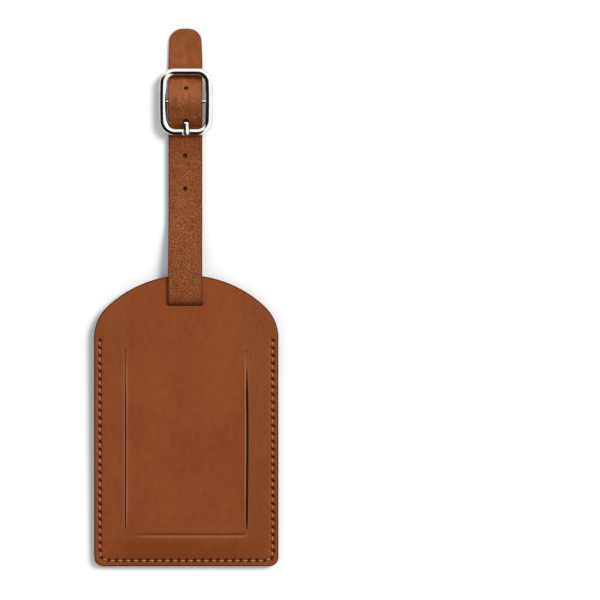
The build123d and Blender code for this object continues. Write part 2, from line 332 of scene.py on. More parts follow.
def slit_loop(x, widest, closing):
    """A knife cut that opens quickly at its foot and closes slowly above the height closing."""
    count, waver, knife_half, fade = 120, 0.25, 0.015, 16
    left, right = [], []
    for i in range(count + 1):
        s = slit_foot + slit_l * i / count
        middle = x + waver * drift(x, s * 0.03, 2.0)
        opened = soft_step(-1.5, 5.0, s - slit_foot) * (1 - soft_step(closing, closing + fade, s))
        half = knife_half + widest / 2 * opened
        left.append(Vector((middle - half, s)))
        right.append(Vector((middle + half, s)))
    return right + left[::-1]


slits_narrow = 70
left_slit = slit_loop(-slit_x, 0.28, 60.0)
right_slit = slit_loop(slit_x, 0.74, 63.0)
slot_corner = 0.5
slot_reach = slot_w / 2 - slot_corner
slot_lift = slot_h / 2 - slot_corner
slot_turns = ((1, -1, -90), (1, 1, 0), (-1, 1, 90), (-1, -1, 180))
slot_points = []
for across, up, start in slot_turns:
    middle = Vector((slot_x + across * slot_reach, slot_s + up * slot_lift))
    slot_points += arc(middle.x, middle.y, slot_corner, start, start + 90, 0.2)
strap_slot = even(slot_points, 0.4)


def crease_press(x, s):
    """How hard the bone tool pressed at the nearest part of the crease, and how far above it x, s is."""
    near, _, far = crease_tree.find((x, s, 0))
    faintest, gains_over = 0.15, 9.0
    pressed = faintest + (1 - faintest) * soft_step(0.0, gains_over, near.x - crease_start)
    return pressed, far if s - near.y > x - near.x else -far


def front_face(x, s):
    """Height of the front panel's grain side above the back panel's underside."""
    h = body_t - seam_dent(x, s) - awl_depth * needle_mark(x, s)
    pressed, above = crease_press(x, s)
    groove = 0.34 * bell(above, 0.48)
    pushed_up = 0.1 * bell(abs(above) - 1.15, 0.5)
    h += pressed * (pushed_up - groove)
    beside = abs(abs(x) - slit_x)
    opened = soft_step(slit_foot - 1, slit_foot + 9, s)
    in_window = opened * (1 - soft_step(slits_narrow, slit_foot + slit_l + 1, s))
    if abs(x) < slit_x:
        band_lift, lip_lift = 0.12, 0.24
        h += in_window * (band_lift + lip_lift * exp(-beside))
    else:
        lip_sink, sink_width = 0.06, 1.6
        h -= in_window * lip_sink * exp(-beside / sink_width)
    h += 0.05 * drift(x * 0.05, s * 0.05, 1.0)
    h += 0.02 * drift(x * 0.2, s * 0.2, 5.0)
    return h


def front_back(x, s):
    """Height of the front panel's flesh side: flat on the board, free over the card pocket."""
    return back_t + board_t


def front_tone_and_shading(x, s, side, edge):
    """Painted light and shade on the front panel: painted light towards the upper right, painted shade
    in the crease and below it, the window band a little darker and the side strips lighter towards the
    top.
    """
    lit_upper_right = 0.16 * soft_step(-30, 34, x) * soft_step(50, 85, s)
    pressed, above = crease_press(x, s)
    crease_shade = 0.7 * pressed * bell(above - 0.4, 0.32)
    below_crease_shade = 0.42 * (1 - soft_step(crease_s - 5.5, crease_s + 0.5, s)) * soft_step(36, 14, abs(x) + 0.01)
    if abs(x) < slit_x:
        beside_slits = -0.08
    else:
        beside_slits = 0.12 * soft_step(20, 60, s)
    return lit_upper_right + beside_slits - crease_shade - below_crease_shade


outline_tree = nearest_of(body_outline)


def front_paint(x, s, side, edge):
    """Where edge paint covers the leather: the cut outline, and just over its rounding."""
    inside = outline_tree.find((x, s, 0))[2]
    if inside > 0.9:
        return 0.9 * soft_step(0.7, 1.0, edge)
    return max(soft_step(0.0, 0.5, edge), 1 - soft_step(0.3, 0.62, inside))


def front_lip_highlight(x, s, side, edge):
    """Painted highlight on the slits' rounded cut lips, mostly on the window band's side, and on the
    crease's lower wall.
    """
    if side < 0:
        return 0.0
    beside = abs(abs(x) - slit_x)
    pressed, above = crease_press(x, s)
    crease_wall_highlight = 0.5 * pressed * bell(above + 0.42, 0.34)
    ends = soft_step(slit_foot, slit_foot + 5, s)
    ends *= 1 - soft_step(slits_narrow, slit_foot + slit_l + 3, s)
    # how strong the painted highlight is on each lip: the right slit's band side most, the left slit's
    # band side less, the outer lips least
    right_band, left_band, outside = 1.0, 0.6, 0.3
    worn = (right_band if x > 0 else left_band) if abs(x) < slit_x else outside
    lip_width = 0.8
    return crease_wall_highlight + ends * worn * bell(beside, lip_width, 4)


def rounded_edge(radius, side, turns):
    """The edge's steps over its rounding, from the turns given in twelfths of a half turn."""
    steps = [pi * turn / 12 for turn in turns]
    return [(radius * (1 - sin(a)), side, radius * (1 - cos(a))) for a in steps]


front_rows = rounded_edge(edge_round, 1, (0, 2, 4, 6)) + [(0.0, -1, 0.06), (0.05, -1, 0.0)]
seam_spots = even(seam_line, 0.21, closed=False)
seam_beside = [0.08, 0.22, 0.4, 0.6, 0.9, 1.3]
seam_beside = [-gap for gap in seam_beside[::-1]] + seam_beside
crease_beside = [-1.7, -1.2, -0.8, -0.55, -0.35, -0.15, 0.1, 0.3, 0.5, 0.75, 1.15, 1.7]
front_spots = rows_along(seam_spots, seam_beside)
front_spots += rows_along(crease_line, crease_beside)
for slit in (left_slit, right_slit):
    for p, n in zip(slit, edge_normals(slit, hole=True)):
        front_spots += [p - n * gap for gap in (0.55, 0.85, 1.25, 1.9, 2.8)]
paint_border = 0.62
border_spots = [p - n * paint_border for p, n in zip(body_outline, edge_normals(body_outline))]
front_spots += border_spots


def front_plain(x, s, side, edge):
    """Where the emboss is ironed flat: the window band and the arch's left, least at the right."""
    in_band = 1 - soft_step(slit_x - 1, slit_x + 2, abs(x))
    at_right = soft_step(0, 25, x) * soft_step(60, 80, s) * (1 - in_band)
    return 0.25 + 0.45 * in_band - 0.25 * at_right


front_pitch = 1.5
front_panel = cut_leather(
    "front_panel_leather",
    [body_outline, left_slit, right_slit, strap_slot],
    front_rows,
    front_spots,
    front_pitch,
    front_face,
    front_back,
    on_body,
    {
        "tone_and_shading": front_tone_and_shading,
        "paint": front_paint,
        "lip_highlight": front_lip_highlight,
        "plain": front_plain,
        "pit_shade": lambda x, s, side, edge: needle_mark(x, s) if side > 0 else 0.0,
    },
)


def feed(made, inputs):
    """Gives a shader node's sockets, by name or number, their values or links."""
    for key, value in inputs.items():
        if isinstance(value, bpy.types.NodeSocket):
            made.id_data.links.new(value, made.inputs[key])
        else:
            made.inputs[key].default_value = value


def node(tree, kind, inputs, **settings):
    """One shader node with its settings, and what its sockets take."""
    made = tree.nodes.new("ShaderNode" + kind)
    for key, value in settings.items():
        setattr(made, key, value)
    feed(made, inputs)
    return made


def group(name, takes, gives):
    """An empty shader node group with named sockets, and its input and output nodes."""
    tree = bpy.data.node_groups.new(name, "ShaderNodeTree")
    kinds = {"vector": "NodeSocketVector", "value": "NodeSocketFloat"}
    for label, kind in takes.items():
        tree.interface.new_socket(label, in_out="INPUT", socket_type=kinds[kind])
    for label, kind in gives.items():
        tree.interface.new_socket(label, in_out="OUTPUT", socket_type=kinds[kind])
    return tree, tree.nodes.new("NodeGroupInput"), tree.nodes.new("NodeGroupOutput")


def arithmetic(tree, operation, a, b=0.0, clamp=False):
    """One Math node's result."""
    return node(tree, "Math", {0: a, 1: b}, operation=operation, use_clamp=clamp).outputs[0]


def eased(tree, value, low, high):
    """0 where the value is below low, 1 above high, smooth between."""
    settings = {"Value": value, "From Min": low, "From Max": high}
    return node(tree, "MapRange", settings, interpolation_type="SMOOTHSTEP").outputs[0]


def mixed(tree, share, first, second):
    """Two colours blended by share, each a colour or another node's colour."""
    ends = [c if isinstance(c, bpy.types.NodeSocket) else (*c, 1) for c in (first, second)]
    return node(tree, "Mix", {0: share, 6: ends[0], 7: ends[1]}, data_type="RGBA").outputs[2]


def marked(tree, name):
    """The value that the mesh's points carry under a name."""
    return node(tree, "Attribute", {}, attribute_name=name).outputs["Fac"]


def noisy(tree, place, scale, detail, distortion=0.0):
    """Soft noise between 0 and 1, with so many spots to a unit of the place."""
    settings = {"Vector": place, "Scale": scale, "Detail": detail, "Distortion": distortion}
    return node(tree, "TexNoise", settings).outputs[0]


def bumped(tree, height, strength, depth):
    """The normal of a relief that is depth mm deep."""
    relief = {"Height": height, "Strength": strength, "Distance": depth * mm}
    return node(tree, "Bump", relief).outputs[0]


def new_material(name):
    """A new material, its nodes and its shader."""
    made = bpy.data.materials.new(name)
    made.use_nodes = True
    return made, made.node_tree, made.node_tree.nodes["Principled BSDF"]


# embossed grain: pebbles parted by fine hollows, pores on them, and slow mottling of the dye
grain, takes, gives = group(
    "hide grain",
    {"Place": "vector", "Pebble": "value", "Wander": "value"},
    {"Height": "value", "Hollow": "value", "Mottle": "value"},
)
place = takes.outputs["Place"]
warp = node(grain, "TexNoise", {"Vector": place, "Scale": 0.8, "Detail": 2.0}).outputs["Color"]
centred = node(grain, "VectorMath", {0: warp, 1: (0.5, 0.5, 0.5)}, operation="SUBTRACT")
wandering = {0: centred.outputs[0], "Scale": takes.outputs["Wander"]}
shoved = node(grain, "VectorMath", wandering, operation="SCALE")
moved = node(grain, "VectorMath", {0: place, 1: shoved.outputs[0]}, operation="ADD")
pebble_count = arithmetic(grain, "DIVIDE", 1.0, takes.outputs["Pebble"])
fine_count = arithmetic(grain, "MULTIPLY", pebble_count, 2.6)
domes = []
for count, shoulder in ((pebble_count, 0.24), (fine_count, 0.3)):
    cells = {"Vector": moved.outputs[0], "Scale": count}
    pebbles = node(grain, "TexVoronoi", cells, feature="DISTANCE_TO_EDGE")
    domes.append(eased(grain, pebbles.outputs["Distance"], 0.0, shoulder))
tall = arithmetic(grain, "MULTIPLY", domes[0], 0.5)
short = arithmetic(grain, "MULTIPLY", domes[1], 0.2)
pores = arithmetic(grain, "MULTIPLY", noisy(grain, place, 5.0, 3.0), 0.12)
swell = arithmetic(grain, "MULTIPLY", noisy(grain, place, 0.55, 2.0), 0.5)
both = arithmetic(grain, "ADD", tall, short)
rough = arithmetic(grain, "ADD", pores, swell)
cloudy = arithmetic(grain, "MULTIPLY", noisy(grain, place, 0.07, 4.0), 0.55)
patchy = arithmetic(grain, "MULTIPLY", noisy(grain, place, 0.42, 3.0), 0.45)
hollow = arithmetic(grain, "SUBTRACT", 1.0, domes[0])
mottle = arithmetic(grain, "ADD", cloudy, patchy)
feed(gives, {"Height": arithmetic(grain, "ADD", both, rough), "Hollow": hollow, "Mottle": mottle})

# edge paint: a mask that breaks up a little along its border, and its own faint brush lines
brushed, takes, gives = group(
    "edge paint", {"Place": "vector", "Painted": "value"}, {"Mask": "value", "Height": "value"}
)
place = takes.outputs["Place"]
border = arithmetic(brushed, "SUBTRACT", noisy(brushed, place, 1.6, 3.0), 0.5)
ragged = arithmetic(brushed, "MULTIPLY", border, 0.7)
soaked = arithmetic(brushed, "ADD", takes.outputs["Painted"], ragged)
stretch = node(brushed, "Mapping", {"Vector": place, "Scale": (1.0, 1.0, 7.0)}).outputs[0]
lines = noisy(brushed, stretch, 1.2, 2.0)
feed(gives, {"Mask": eased(brushed, soaked, 0.3, 0.75), "Height": lines})

lip_highlight_colour = (0.36, 0.15, 0.075)
hole_shade_colour = (0.062, 0.007, 0.002)
paint_colour = (0.075, 0.014, 0.005)


def leather(name, dark, light, pebble, wander, depth, lean, gloss, settle, cloud):
    """Dyed and embossed hide with painted edges, painted highlights on the slit lips and painted shade
    in the needle holes.
    """
    made, tree, shader = new_material(name)
    lie = node(tree, "Attribute", {}, attribute_name="lie").outputs["Vector"]
    drawn_out = {"Vector": lie, "Rotation": (0, 0, radians(lean)), "Scale": (1.0, 0.62, 1.0)}
    turned = node(tree, "Mapping", drawn_out).outputs[0]
    pebbled = {"Place": turned, "Pebble": pebble, "Wander": wander}
    hide = node(tree, "Group", pebbled, node_tree=grain)
    patches = arithmetic(tree, "SUBTRACT", hide.outputs["Mottle"], 0.5)
    clouds = arithmetic(tree, "MULTIPLY", patches, cloud)
    # the tone and shading mark: the hide's own tone, with painted light and shade from the mesh added
    toned = arithmetic(tree, "ADD", clouds, marked(tree, "tone_and_shading"))
    dyed = mixed(tree, arithmetic(tree, "ADD", toned, 0.5, clamp=True), dark, light)
    embossed = arithmetic(tree, "SUBTRACT", 1.0, marked(tree, "plain"), clamp=True)
    hollow = arithmetic(tree, "MULTIPLY", hide.outputs["Hollow"], embossed)
    settled = arithmetic(tree, "MULTIPLY", hollow, settle)
    deep = tuple(c * 0.62 for c in dark)
    grained = mixed(tree, settled, dyed, deep)
    # painted highlight along the slit lips and the crease's lower wall
    lips_highlighted = mixed(tree, arithmetic(tree, "MULTIPLY", marked(tree, "lip_highlight"), 0.75), grained, lip_highlight_colour)
    # painted shade in the needle holes and where the strap turns down into the slot
    holes_shaded = mixed(tree, eased(tree, marked(tree, "pit_shade"), 0.1, 0.5), lips_highlighted, hole_shade_colour)
    painted = {"Place": lie, "Painted": marked(tree, "paint")}
    paint = node(tree, "Group", painted, node_tree=brushed)
    dull = arithmetic(tree, "MULTIPLY", hide.outputs["Hollow"], 0.16)
    patchy_gloss = arithmetic(tree, "MULTIPLY", hide.outputs["Mottle"], 0.2)
    satin = arithmetic(tree, "ADD", arithmetic(tree, "ADD", dull, patchy_gloss), gloss)
    paint_gloss = 0.38
    wiped = node(tree, "Mix", {0: paint.outputs["Mask"], 2: satin, 3: paint_gloss})
    raised = arithmetic(tree, "MULTIPLY", hide.outputs["Height"], embossed)
    relief = node(tree, "Mix", {0: paint.outputs["Mask"], 2: raised, 3: paint.outputs["Height"]})
    looks = {
        "Base Color": mixed(tree, paint.outputs["Mask"], holes_shaded, paint_colour),
        "Roughness": wiped.outputs[0],
        "Specular IOR Level": 0.16,
        "Normal": bumped(tree, relief.outputs[0], 1.0, depth),
    }
    feed(shader, looks)
    return made


panel_hide = leather(
    "panel_hide",
    dark=(0.172, 0.034, 0.0030),
    light=(0.268, 0.068, 0.0145),
    pebble=0.5,
    wander=0.5,
    depth=0.08,
    lean=38,
    gloss=0.36,
    settle=0.45,
    cloud=1.4,
)
front_panel.data.materials.append(panel_hide)
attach(front_panel, "body")
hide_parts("front_panel")

# -------------------- stiffener board
# A 0.6 mm board between the leathers, with a window cut in it for the card. Its rim is flush with
# the leathers and painted with them, so the whole board takes the dark red-brown of the paint.
pulp, takes, gives = group(
    "board pulp", {"Place": "vector", "Fleck": "value"}, {"Fibre": "value", "Height": "value"}
)
place = takes.outputs["Place"]
matted = node(pulp, "Mapping", {"Vector": place, "Scale": (260.0, 1100.0, 900.0)}).outputs[0]
strands = noisy(pulp, matted, 1.0, 5.0, 0.6)
flecks = node(pulp, "TexVoronoi", {"Vector": place, "Scale": takes.outputs["Fleck"]})
spread_out = arithmetic(pulp, "MULTIPLY", flecks.outputs["Distance"], 0.4)
feed(gives, {"Fibre": arithmetic(pulp, "ADD", strands, spread_out), "Height": strands})


def card_board(name, dark, light, fleck):
    """Pressed paper board with fibres and flecks."""
    made, tree, shader = new_material(name)
    place = node(tree, "TexCoord", {}).outputs["Object"]
    paper = node(tree, "Group", {"Place": place, "Fleck": fleck}, node_tree=pulp)
    looks = {
        "Base Color": mixed(tree, paper.outputs["Fibre"], dark, light),
        "Roughness": 0.8,
        "Specular IOR Level": 0.2,
        "Normal": bumped(tree, paper.outputs["Height"], 0.6, 0.03),
    }
    feed(shader, looks)
    return made


def coat(piece, material):
    """Gives one of the CAD's own pieces its material."""
    frame["nodes"][piece].data.materials.clear()
    frame["nodes"][piece].data.materials.append(material)


painted = card_board("painted_board", (0.05, 0.010, 0.004), (0.085, 0.018, 0.007), 1500.0)
coat("stiffener_board", painted)

# -------------------- address card
# The loose name card in the pocket: kraft card, its colour made dark so that it also stands in for the
# shade inside the slits. It shows only as a dark strip down the slits, and slides up 15 mm in the
# board's window.
coat("address_card", card_board("dark_card_and_slit_shade", (0.045, 0.016, 0.006), (0.10, 0.045, 0.02), 900.0))

# -------------------- back panel
# The plain back of the tag: the same hide without slits, sewn through the same needle holes and
# painted along its cut edge. The strap's slot goes through it too.


def back_face(x, s):
    """Height of the back panel's outer grain side, which looks down."""
    exit_depth, unevenness = 0.5, 0.02
    dent = seam_dent(x, s) + exit_depth * needle_mark(x, s)
    return dent + unevenness * (1 + drift(x * 0.06, s * 0.06, 8.0))


def back_inside(x, s):
    """Height of the back panel's flesh side, flat under the board."""
    return back_t


back_rows = [(edge_round, 1, 0.0), (0.0, 1, 0.0)] + rounded_edge(edge_round, -1, (6, 4, 2, 0))
back_pitch = 1.8
back_panel = cut_leather(
    "back_panel_leather",
    [body_outline, strap_slot],
    back_rows,
    rows_along(seam_spots, seam_beside) + border_spots,
    back_pitch,
    back_inside,
    back_face,
    on_body,
    {
        "tone_and_shading": lambda x, s, side, edge: 0.1 * drift(x * 0.04, s * 0.04, 3.0),
        "paint": front_paint,
        "lip_highlight": lambda x, s, side, edge: 0.0,
        "plain": lambda x, s, side, edge: 0.2,
        # painted shade in the back's needle holes
        "pit_shade": lambda x, s, side, edge: needle_mark(x, s) if side < 0 else 0.0,
    },
)
back_panel.data.materials.append(panel_hide)
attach(back_panel, "body")
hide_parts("back_panel")

# -------------------- seam thread
# Waxed two-ply thread, 0.5 mm thick, lockstitched through both leathers and the board with
# 78 stitches. The needle thread shows on the front, the bobbin thread on the back.
thread_w = 0.5
thread_lay = 1.5


def tube_mesh(name, shape, around, closed=False):
    """A mesh over rings of points, which is either a closed ring itself or has two flat ends."""
    rings = len(shape) // around
    skin = []
    for i in range(rings if closed else rings - 1):
        for k in range(around):
            here, there, n = i * around, (i + 1) % rings * around, (k + 1) % around
            skin.append((here + k, here + n, there + n, there + k))
    if not closed:
        skin.append(tuple(range(around)))
        skin.append(tuple(len(shape) - 1 - k for k in range(around)))
    mesh = bpy.data.meshes.new(name)
    mesh.from_pydata(shape, [], skin)
    return mesh


def lay_thread(name, path, thick, lay_length):
    """A two-ply twisted thread swept along a path of points, all in mm."""
    around, end_pull, valley = 12, 0.55, 0.84
    shape, turns = [], []
    side = Vector((0.3, 0.2, 1.0))
    gone = 0.0
    for i, p in enumerate(path):
        t = way_at(path, i)
        side = (side - t * side.dot(t)).normalized()
        other = t.cross(side)
        gone += (p - path[i - 1]).length if i else 0.0
        pull = end_pull if i in (0, len(path) - 1) else 1.0
        for k in range(around):
            a = 2 * pi * k / around
            twist = a - 2 * pi * gone / lay_length
            r = thick / 2 * (valley + (1 - valley) * abs(cos(twist))) * pull
            shape.append((p + (side * cos(a) + other * sin(a)) * r) * mm)
            turns.append(abs(cos(twist)))
    mesh = tube_mesh(name, shape, around)
    mesh.attributes.new("ply", "FLOAT", "POINT").data.foreach_set("value", turns)
    return finish_mesh(name, mesh)


def stitch_path(surface, outward):
    """The seam's thread on one face: over the leather between the holes, down into each."""
    steps, aside, proud, plunge = 16, 0.18, 0.04, 1.15
    path = []
    for i in range(seam_stitches):
        (start, slash), (end, next_slash) = needle_holes[i], needle_holes[i + 1]
        enter, leave = start + slash * aside, end - next_slash * aside
        for k in range(steps + (i == seam_stitches - 1)):
            v = k / steps
            flat = enter.lerp(leave, v)
            rise = proud - plunge * (1 - sin(pi * v) ** 1.5)
            path.append(on_body(flat.x, flat.y, surface + outward * rise))
    return path


# spun thread: fine hairs, and the ply mark that the thread material turns into painted shade between the
# plies and painted highlight on their crowns
spun, takes, gives = group(
    "spun thread", {"Place": "vector", "Ply": "value"}, {"Fibre": "value", "PlyShading": "value"}
)
hairs = noisy(spun, takes.outputs["Place"], 9000.0, 2.0)
groove = node(spun, "MapRange", {"Value": takes.outputs["Ply"], "From Min": 0.0, "From Max": 0.6})
feed(gives, {"Fibre": hairs, "PlyShading": groove.outputs[0]})


def waxed_thread(name, dark, light):
    """Twisted polyester with a waxy sheen: painted shade between its plies and painted highlight on
    their crowns.
    """
    made, tree, shader = new_material(name)
    twisted = {"Place": node(tree, "TexCoord", {}).outputs["Object"], "Ply": marked(tree, "ply")}
    twine = node(tree, "Group", twisted, node_tree=spun)
    ply_shading = arithmetic(tree, "MULTIPLY", twine.outputs["PlyShading"], 0.8)
    hairy = arithmetic(tree, "MULTIPLY", twine.outputs["Fibre"], 0.3)
    looks = {
        "Base Color": mixed(tree, arithmetic(tree, "ADD", ply_shading, hairy, clamp=True), dark, light),
        "Roughness": 0.5,
        "Sheen Weight": 0.15,
        "Normal": bumped(tree, twine.outputs["Fibre"], 0.5, 0.03),
    }
    feed(shader, looks)
    return made


thread = waxed_thread("waxed_thread", (0.16, 0.045, 0.012), (0.44, 0.165, 0.078))
seam_sides = (("needle", body_t - 0.1, 1), ("bobbin", 0.32, -1))
for face_name, surface, outward in seam_sides:
    path = stitch_path(surface, outward)
    seam = lay_thread(f"seam_{face_name}_stitches", path, thread_w, thread_lay)
    seam.data.materials.append(thread)
    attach(seam, "body")
    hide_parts(f"seam_{face_name}_thread")

# -------------------- strap
# One 12.8 mm strap, 1 mm thick, of coarser pebbled hide. From its tip it runs under the buckle's
# upper end, over the centre bar, down through the body's slot and back beneath itself to the fold.
strap_w = 12.8
strap_t = 1.0
strap_shift = -0.4
tip_y = 102.05
tip_r = 5.0
tip_taper = 0.25
lower_z = 0.5
upper_z = 1.55
crest_z = 5.2
bend_y = 11.83
loop_s = 99.55
bar_y = 74.0
bar_z = 3.15
pared_t = 0.65
fold_r = 1.055
over_crown = 111.2
slot_top = 3.28
slot_under = -0.65
slot_bend = 1.15


def round_corners(corners):
    """A line through (y, z, radius) corners, each rounded by its radius."""
    line = [Vector(corners[0][:2])]
    for before, corner, after in zip(corners, corners[1:], corners[2:]):
        at, radius = Vector(corner[:2]), corner[2]
        a, b = (Vector(before[:2]) - at).normalized(), (Vector(after[:2]) - at).normalized()
        spread = a.angle(b) / 2
        reach = radius / abs(sin(spread)) * cos(spread)
        start, end = at + a * reach, at + b * reach
        steps = 12
        for i in range(steps + 1):
            v = i / steps
            line.append(start * (1 - v) ** 2 + at * (2 * v * (1 - v)) + end * v * v)
    line.append(Vector(corners[-1][:2]))
    return line


def in_section(s, h):
    """A point of the body's middle section, as (y, z)."""
    spot = on_body(0, s, h)
    return (spot.y, spot.z)


through = [
    (tip_y, lower_z, 0),
    (83.5, lower_z, 2),  # under the buckle's upper bar
    (76.0, crest_z, 2),  # over the folded end and the centre bar
    (72.0, crest_z, 2),
    (67.7, 4.2, 2),
    (64.5, upper_z, 2),  # down onto the back strand
    (28.83, upper_z, 20),
    (bend_y + 3, 4.1, 8),  # up onto the body's crown
    (*in_section(over_crown, slot_top), 8),
    (*in_section(loop_s, slot_top), slot_bend),
    (*in_section(loop_s, slot_under), slot_bend),
    (*in_section(over_crown, slot_under), 8),
    (bend_y + 3, lower_z, 8),  # under the body's crown, then along the table
    (63.8, lower_z, 2),
    (65.0, pared_t / 2, 2),  # pared thin, then up round the bar
    (68.8, pared_t / 2, 0.8),
    (bar_y, bar_z - fold_r, 0),
]
strap_step = 0.12
strap_line = round_corners(through)[:-1]
round_bar = [radians(a) for a in range(-108, 118, 8)]
strap_line += [Vector((bar_y + fold_r * cos(a), bar_z + fold_r * sin(a))) for a in round_bar]
strap_line += [Vector((68.0, 1.03)), Vector((66.0, 1.025))]  # the sewn flap
strap_line = even(strap_line, strap_step, closed=False)
strap_l = sum((b - a).length for a, b in zip(strap_line, strap_line[1:]))


def along_strap(u):
    """The strap's middle line at u mm from its tip: where it is, and which way its grain faces."""
    step = min(max(u / strap_l, 0.0), 1.0) * (len(strap_line) - 1)
    i = min(int(step), len(strap_line) - 2)
    spot = strap_line[i].lerp(strap_line[i + 1], step - i)
    a, b = strap_line[max(i - 2, 0)], strap_line[min(i + 3, len(strap_line) - 1)]
    run = (b - a).normalized()
    return spot, Vector((run.y, -run.x))


def strap_mark(y, last=False):
    """Distance from the tip to the first, or the last, place where the strap passes y."""
    order = range(len(strap_line) - 1)
    for i in reversed(order) if last else order:
        if (strap_line[i].x - y) * (strap_line[i + 1].x - y) <= 0:
            return strap_l * i / (len(strap_line) - 1)


back_half = range(len(strap_line) // 2 + 1, len(strap_line))
fold_back = max(back_half, key=lambda i: strap_line[i].x)
u_bar = strap_l * fold_back / (len(strap_line) - 1)
u_crest = strap_mark(bar_y)
u_slot = strap_mark(in_section(loop_s, 1.3)[0] + 0.02)
u_pared = u_bar - 12.5
pare_length = 1.6


def strap_thick(u):
    """1 mm, pared down where it folds round the bar."""
    return strap_t - (strap_t - pared_t) * soft_step(u_pared, u_pared + pare_length, u)


def strap_place(x, u, h):
    """Puts a point of the flat strap where the strap lies."""
    spot, out = along_strap(u)
    spot = spot + out * h
    return Vector((x + strap_shift, spot.x, spot.y))


def strap_creases(x, u):
    """Wrinkles across the strap where it is bent over the bar, and its own unevenness."""
    past = u - u_crest
    over_bar = bell(past, 4.0)
    gathered = bell(past, 2.2, 4) * (1 - soft_step(4.2, 5.6, abs(x)))
    pucker = 0.34 * drift(x * 0.8 + 0.3 * past, past * 0.42, 4.0)
    wave = 0.16 * drift(x * 0.55, past * 0.9, 0.0)
    ripple = 0.16 * drift(x * 0.9 + u * 0.5, u * 1.1, 7.0)
    uneven = 0.02 * drift(x * 0.3, u * 0.12, 3.0)
    return over_bar * (wave + ripple) + gathered * pucker + uneven


row_y = 66.9
row_start = 1.9
row_stitch = 1.7
row_holes = 3
fold_needle = 0.24
fold_needle_depth = 0.2
row_x = [row_start + row_stitch * i for i in range(row_holes)]
fold_needle_x = [side * x - strap_shift for side in (-1, 1) for x in row_x]
u_sewn = [u_bar - (bar_y + fold_r - row_y) - 1.9, strap_mark(row_y, last=True)]


def fold_pit(x, u):
    """How deep in one of the fold's needle holes a point is."""
    off_row = min(abs(u - mark) for mark in u_sewn)
    off_hole = min(abs(x - hole) for hole in fold_needle_x)
    if off_row > 0.8:
        return 0.0
    return bell(off_hole, fold_needle) * bell(off_row, fold_needle)


crown_rise = 0.05
u_skived = strap_mark(67.9)
skive_depth = 0.45


def strap_face(x, u):
    """Height of the strap's grain side above its middle."""
    crown = crown_rise * (x / (strap_w / 2)) ** 2
    return strap_thick(u) / 2 - crown + strap_creases(x, u) - fold_needle_depth * fold_pit(x, u)


def strap_flesh(x, u):
    """Height of its flesh side, skived where the prong rises into its hole."""
    skived = bell(u_skived - u, 1.0, 4) * bell(x + strap_shift, 1.6, 4)
    return skive_depth * skived - strap_thick(u) / 2


half_strap = strap_w / 2
tip_half = half_strap - tip_taper
end_r = 0.6
taper_l = 2 * tip_r + 2
strap_outline = even(
    arc(tip_half - tip_r, tip_r, tip_r, 0, -90, 0.3)
    + arc(tip_r - tip_half, tip_r, tip_r, -90, -180, 0.3)
    + [Vector((-half_strap, taper_l))]
    + arc(end_r - half_strap, strap_l - end_r, end_r, 180, 90, 0.2)
    + arc(half_strap - end_r, strap_l - end_r, end_r, 90, 0, 0.2)
    + [Vector((half_strap, taper_l))],
    0.45,
)


def punched(x, u, width, length):
    """A punched hole, or a slot with round ends along the strap."""
    r, reach = width / 2, (length - width) / 2
    ends = arc(x, u + reach, r, 0, 180, 0.15) + arc(x, u - reach, r, 180, 360, 0.15)
    return even(ends, 0.25)


hole_w = 1.5
spare_holes = ((0.4, 78.8), (-0.1, 53.6), (-0.1, 41.0))
strap_holes = [punched(x, strap_mark(y), hole_w, hole_w + 0.0001) for x, y in spare_holes]
prong_hole_w = 2.1
prong_hole_l = 2.8
fold_slot_w = 2.4
fold_slot_l = 12.7
u_fold_slot = u_bar + 1.75
strap_holes.append(punched(-strap_shift, strap_mark(66.4), prong_hole_w, prong_hole_l))
strap_holes.append(punched(-strap_shift, u_fold_slot, fold_slot_w, fold_slot_l))

# the flesh side's own darker colour, darkened further as painted shade for where it shows through the
# strap's holes
flesh_tone_and_shade = -0.9
u_top_bar = strap_mark(83.6)
u_smooth_end = 15


def strap_tone_and_shading(x, u, side, edge):
    """Darker at the smooth tip; painted light just above the crest; painted shade below the crest, under
    the buckle's top bar and where the strap dives into the slot; the flesh side darker still.
    """
    if side < 0:
        return flesh_tone_and_shade
    tip = 0.16 * (1 - soft_step(u_smooth_end + 1, u_smooth_end + 7, u))
    past = u - u_crest
    below_crest_shade = 0.24 * soft_step(0, 3, past) * (1 - soft_step(14, 26, past))
    above_crest_light = 0.06 * soft_step(21, 24, u) * (1 - soft_step(-1.5, 2, past))
    under_bar_shadow = 0.6 * bell(u - u_top_bar, 0.9)
    into_slot_shade = 0.35 * soft_step(u_slot - 6, u_slot, u)
    return above_crest_light - tip - below_crest_shade - under_bar_shadow - into_slot_shade


def strap_paint(x, u, side, edge):
    """Edge paint on the cut edges and just over their rounding."""
    from_side = half_strap - abs(x)
    if edge:
        return soft_step(0.0, 0.8, edge)
    return 0.9 * (1 - soft_step(0.15, 0.42, min(from_side, u + 0.2)))


def strap_pit_shade(x, u, side, edge):
    """Painted shade in the fold's needle holes, and where the strap turns down into the body's slot."""
    if side < 0:
        return 0.0
    turning_down_shade = 0.3 * soft_step(u_slot - 5, u_slot - 0.3, u) * (u < u_slot + 1)
    return max(fold_pit(x, u), turning_down_shade)


def strap_plain(x, u, side, edge):
    """The tip, ironed smooth where the strap is pulled through the buckle."""
    if side < 0:
        return 0.3
    tip = 0.92 * (1 - soft_step(u_smooth_end, u_smooth_end + 6, u))
    to_crest = 0.45 * soft_step(17, 21, u) * (1 - soft_step(u_crest - 3, u_crest + 3, u))
    return tip + to_crest


